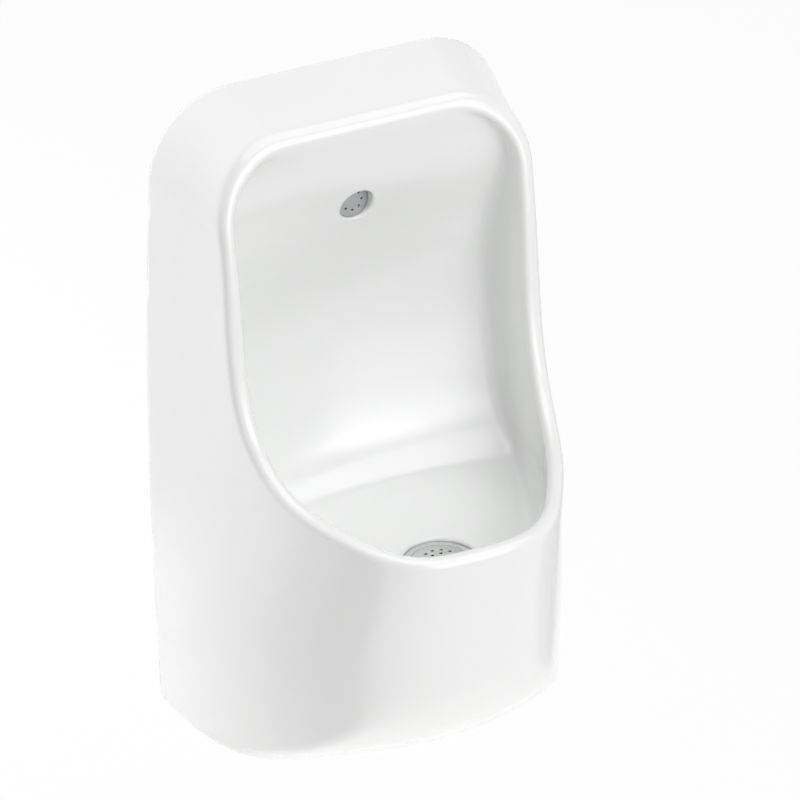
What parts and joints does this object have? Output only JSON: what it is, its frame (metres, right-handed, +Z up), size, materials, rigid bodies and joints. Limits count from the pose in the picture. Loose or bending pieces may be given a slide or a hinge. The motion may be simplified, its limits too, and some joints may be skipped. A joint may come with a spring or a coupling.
{
  "type": "wall-hung urinal",
  "caption": "White glazed wall-hung urinal with a rounded open bowl, beaded rim, flush inlet spreader, lift-out strainer, concealed trap and hanger brackets.",
  "frame": {"origin": "on the wall plane, on the vertical centre line, level with the bottom edge of the ceramic body", "axes": "+Z up, +Y into the wall so the open front faces -Y, +X to the right seen from the front"},
  "size_m": [0.352, 0.2904, 0.6],
  "materials": {
    "glazed_china": "white glossy glaze over vitreous china",
    "galvanised_steel": "pressed and galvanised",
    "stainless_steel": "stamped and brushed stainless sheet",
    "chromed_brass": "polished chrome plate",
    "plain_brass": "turned, uncoated",
    "nylon": "natural moulded nylon",
    "white_polypropylene": "white moulded polypropylene",
    "black_rubber": "moulded rubber"
  },
  "bodies": {
    "bowl_and_fittings": {"ceramic_body": "glazed_china", "hanger_bracket_left": "galvanised_steel", "hanger_bracket_right": "galvanised_steel", "hanger_pads": "black_rubber", "fixing_bushes": "nylon", "inlet_spreader": "chromed_brass", "inlet_front_gasket": "black_rubber", "inlet_rear_gasket": "black_rubber", "inlet_washer": "nylon", "inlet_locknut": "plain_brass", "waste_flange": "chromed_brass", "waste_upper_gasket": "black_rubber", "waste_lower_gasket": "black_rubber", "waste_friction_ring": "nylon", "waste_locknut": "plain_brass", "trap_inlet_nut": "white_polypropylene", "trap_inlet_seal": "black_rubber", "trap_bend": "white_polypropylene", "trap_union_nut": "white_polypropylene", "trap_union_seal": "black_rubber", "outlet_elbow": "white_polypropylene", "cleaning_plug": "white_polypropylene", "cleaning_seal": "black_rubber"},
    "strainer": {"strainer": "stainless_steel"}
  },
  "joints": [
    {"name": "strainer_lift", "type": "slide", "parent": "bowl_and_fittings", "child": "strainer", "axis": [0, 0, 1], "range_m": [0, 0.1]}
  ]
}
